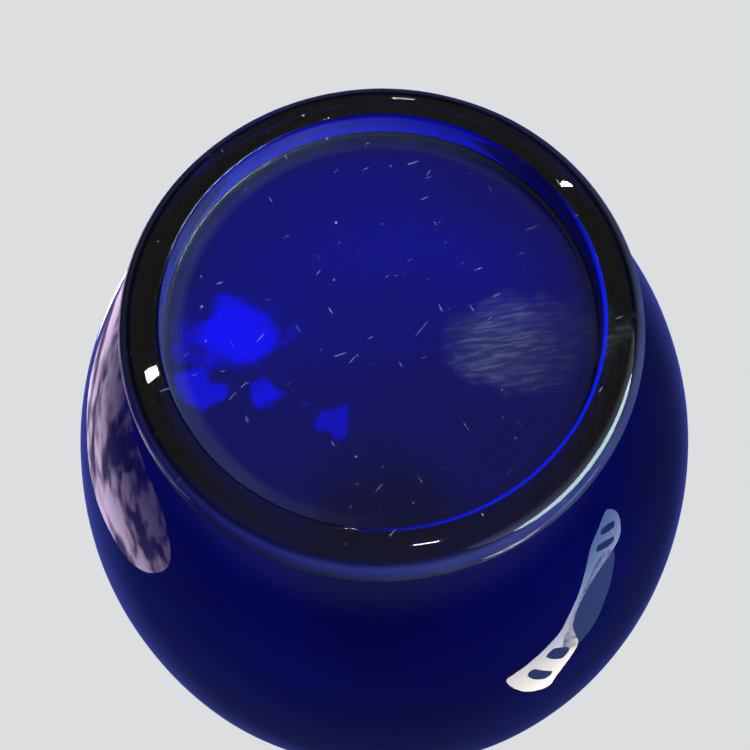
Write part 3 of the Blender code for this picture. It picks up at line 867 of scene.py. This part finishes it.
def glowing_card(name, low, high, cuts, light, panes=(), glazing=None):
    """A light in the shape of a long card from low to high.

    cuts holds (fraction along, one edge, other edge). The stretches between cuts numbered in panes are
    framed openings that hold the glazing.
    """
    low, high = Vector(low), Vector(high)
    along = high - low
    side = along.cross(low + high).normalized()
    bm = bmesh.new()
    bmesh.ops.create_grid(bm, x_segments=1, y_segments=len(cuts) - 1, size=0.5)
    for vert in bm.verts:
        fraction, one_edge, other_edge = cuts[round((vert.co.y + 0.5) * (len(cuts) - 1))]
        vert.co = low + along * fraction + side * (one_edge if vert.co.x < 0 else other_edge)
    stretches = sorted(bm.faces, key=lambda face: (face.calc_center_median() - low).length)
    for opening in [stretches[i] for i in panes]:
        frame_width = 0.2 * min(edge.calc_length() for edge in opening.edges)
        bmesh.ops.inset_individual(bm, faces=[opening], thickness=frame_width)
        opening.material_index = 1
    card = finished(name, bm, *([light, glazing] if glazing else [light]))
    round_corners = card.modifiers.new("round corners", "SUBSURF")
    round_corners.levels = round_corners.render_levels = 3
    card.visible_camera = False
    card.visible_shadow = False


def glow(name, levels, low_tint, high_tint, span, patches=None):
    """Emission that goes from one level and tint to another with height over span, in patches if asked."""
    finish = Finish(name)
    height = finish.height()
    tint = finish.blend(finish.between(height, *span), rgb(*low_tint), rgb(*high_tint))
    level = finish.between(height, *span, *levels)
    if patches:
        level = level * finish.between(finish.grain(patches, 2, 0.5), 0.38, 0.6, 0.1, 1.0)
    light = finish.node("Emission", {}, {"Color": tint, "Strength": level})
    finish.link(finish.tree.nodes["Material Output"].inputs["Surface"], light)
    return finish.material


def studio_sun():
    """Soft light from high at the front, for the floor and the closure only."""
    lit = bpy.data.collections.new("studio_lit")
    for name in ("floor", "collar_ring", "lever", "bail", "porcelain_stopper", "rubber_gasket"):
        lit.objects.link(bpy.data.objects[name])
    data = bpy.data.lights.new("studio_sun", "SUN")
    data.energy = 2.3
    data.angle = math.radians(50)
    sun = bpy.data.objects.new("studio_sun", data)
    sun.rotation_euler = (math.radians(38), math.radians(-22), 0)
    sun.light_linking.receiver_collection = lit
    bpy.context.scene.collection.objects.link(sun)


def tiny_lamp(name, toward, size, brightness):
    """A small far lamp, which shows only as a glint."""
    power = brightness * math.pi * size * size / 2
    softbox(name, direction(*toward, 1.5), (0, 0, 0), (size, size / 2), power, (1, 0.93, 0.82))


one_way_floor()
surroundings()

# A tall window and a dim pane beside it, seen in the belly
sky_blue, cream, teal, lilac = (0.32, 0.52, 1.0), (1.0, 0.92, 0.84), (0.66, 0.93, 1.0), (0.66, 0.5, 0.68)
low, high = direction(-0.83, -0.30, 0.46, 1.3), direction(-0.34, -0.46, 0.82, 1.3)
frame_light = glow("window_light", (2.6, 4.6), sky_blue, cream, (0.62, 1.04))
pane_light = glow("pane_light", (0.45, 0.45), sky_blue, sky_blue, (0.6, 1.0))
window_cuts = [
    (0.0, -0.03, 0.02),
    (0.08, -0.12, 0.05),
    (0.18, -0.15, 0.1),
    (0.28, -0.16, 0.09),
    (0.36, -0.01, 0.08),
    (0.5, 0.03, 0.06),
    (0.64, 0.03, 0.07),
    (0.7, -0.12, 0.09),
    (0.83, -0.13, 0.12),
    (0.94, -0.17, 0.15),
    (1.0, -0.24, 0.18),
]
glowing_card("window", low, high, window_cuts, frame_light, panes=(1, 2, 7, 8), glazing=pane_light)
side_pane = glow("side_pane_light", (0.9, 0.5), sky_blue, sky_blue, (0.6, 1.0))
pane_cuts = [(0.27, -0.14, 0.03), (0.48, -0.17, 0.04), (0.76, -0.15, 0.04)]
glowing_card("window_side", low, high, pane_cuts, side_pane)

# The pale wall and the bright strip before it, seen in the foot ring
low, high = direction(-0.85, 0.3, -0.45, 1.3), direction(-0.36, -0.8, -0.45, 1.3)
wall_light = glow("pale_wall_light", (0.3, 2.0), (0.8, 0.84, 0.85), (0.8, 0.95, 1.0), (-1.05, -0.1))
glowing_card("pale_wall", low, high, [(0.0, -0.3, 0.3), (0.5, -0.5, 0.5), (1.0, -0.2, 0.2)], wall_light)
low, high = direction(-0.97, 0.1, -0.2, 1.2), direction(-0.55, -0.72, -0.42, 1.2)
streak = glow("streak_light", (15, 15), teal, teal, (-0.5, 0.0))
glowing_card("bright_strip", low, high, [(0.0, -0.1, 0.1), (0.5, -0.4, 0.4), (1.0, -0.4, 0.4)], streak)

# The room's far side, seen in the belly's other flank
low, high = direction(0.8, -0.36, 0.48, 1.2), direction(0.44, 0.6, 0.66, 1.2)
patchy = glow("far_wall_light", (0.7, 2.9), lilac, lilac, (0.55, 0.8), patches=8)
far_cuts = [(0.0, -0.15, 0.1), (0.3, -0.25, 0.25), (0.7, -0.25, 0.25), (1.0, -0.2, 0.2)]
glowing_card("far_wall", low, high, far_cuts, patchy)

tiny_lamp("glint_behind", (-0.03, 0.6, -0.8), 0.04, 100)
tiny_lamp("glint_aside", (-0.16, 0.48, -0.87), 0.016, 100)
tiny_lamp("glint_left", (0.2, 0.33, -0.93), 0.03, 60)
tiny_lamp("glint_front", (-0.04, 0.18, -0.98), 0.03, 160)
softbox("overhead", (0.1, 0.95, 1.05), (0, 0, 0.1), (0.9, 0.9), 4.4)
studio_sun()
bpy.context.scene.view_settings.view_transform = "Standard"
